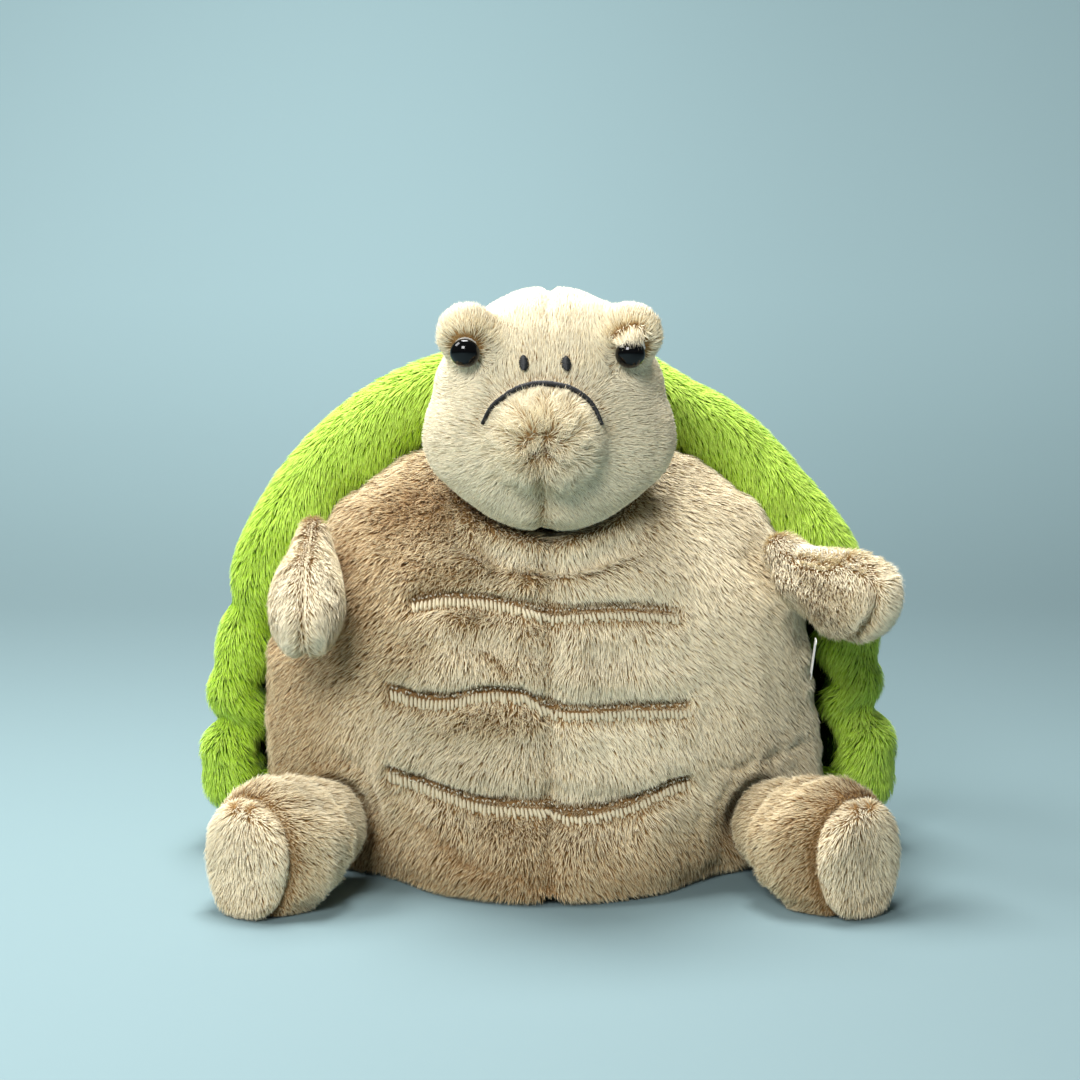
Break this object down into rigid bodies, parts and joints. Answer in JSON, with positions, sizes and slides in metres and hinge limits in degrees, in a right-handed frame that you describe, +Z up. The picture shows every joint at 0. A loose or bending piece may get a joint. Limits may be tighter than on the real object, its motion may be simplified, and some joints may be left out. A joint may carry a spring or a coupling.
{
  "type": "plush turtle",
  "caption": "Seated plush turtle with a stitched belly, round muzzle, raised eyes, short soft arms and legs, and a padded shell on its back.",
  "frame": {"origin": "on the flat base that the toy sits on, at the middle of the body's width, 66 mm behind the head's centre", "axes": "+X towards the toy's own left side, -Y towards its front, +Z up"},
  "size_m": [0.3232, 0.237, 0.264],
  "materials": {
    "cream_plush": "long soft pile",
    "green_plush": "long soft pile",
    "green_lining": "short pile",
    "polyester_fibre": "loose fibre",
    "black_eye_plastic": "gloss",
    "white_nylon": "matt"
  },
  "bodies": {
    "torso": {"back_panel": "cream_plush", "base_panel": "cream_plush", "belly_panel_left": "cream_plush", "belly_panel_right": "cream_plush", "body_stuffing": "polyester_fibre", "shell_cover": "green_plush", "shell_lining": "green_lining", "shell_rim": "green_plush", "shell_stuffing": "polyester_fibre"},
    "head": {"head_panel_left": "cream_plush", "head_panel_right": "cream_plush", "head_stuffing": "polyester_fibre", "muzzle": "cream_plush", "eye_mound_left": "cream_plush", "eye_mound_right": "cream_plush", "eye_left": "black_eye_plastic", "eye_right": "black_eye_plastic", "eye_washer_left": "white_nylon", "eye_washer_right": "white_nylon"},
    "arm_left": {"arm_left_inner_panel": "cream_plush", "arm_left_outer_panel": "cream_plush", "arm_left_stuffing": "polyester_fibre"},
    "leg_left": {"leg_left_tube": "cream_plush", "leg_left_sole": "cream_plush", "leg_left_stuffing": "polyester_fibre"},
    "arm_right": {"arm_right_inner_panel": "cream_plush", "arm_right_outer_panel": "cream_plush", "arm_right_stuffing": "polyester_fibre"},
    "leg_right": {"leg_right_tube": "cream_plush", "leg_right_sole": "cream_plush", "leg_right_stuffing": "polyester_fibre"}
  },
  "joints": [
    {"name": "head_turn", "type": "hinge", "parent": "torso", "child": "head", "pos_m": [0, -0.066, 0.2095], "axis": [0, 0, 1], "range_deg": [-20, 20], "stiffness_Nm_per_rad": 0.3},
    {"name": "shoulder_left", "type": "hinge", "parent": "torso", "child": "arm_left", "pos_m": [0.10397, -0.05066, 0.14511], "axis": [-0.766, -0.6428, 0], "range_deg": [-25, 80], "stiffness_Nm_per_rad": 0.3},
    {"name": "shoulder_right", "type": "hinge", "parent": "torso", "child": "arm_right", "pos_m": [-0.10397, -0.05066, 0.14511], "axis": [-1, 0, 0], "range_deg": [-5, 80], "stiffness_Nm_per_rad": 0.3},
    {"name": "hip_left", "type": "hinge", "parent": "torso", "child": "leg_left", "pos_m": [0.10152, -0.07423, 0.0271], "axis": [0, 0, 1], "range_deg": [-15, 15], "stiffness_Nm_per_rad": 0.3},
    {"name": "hip_right", "type": "hinge", "parent": "torso", "child": "leg_right", "pos_m": [-0.10152, -0.07423, 0.0271], "axis": [0, 0, -1], "range_deg": [-15, 15], "stiffness_Nm_per_rad": 0.3}
  ]
}
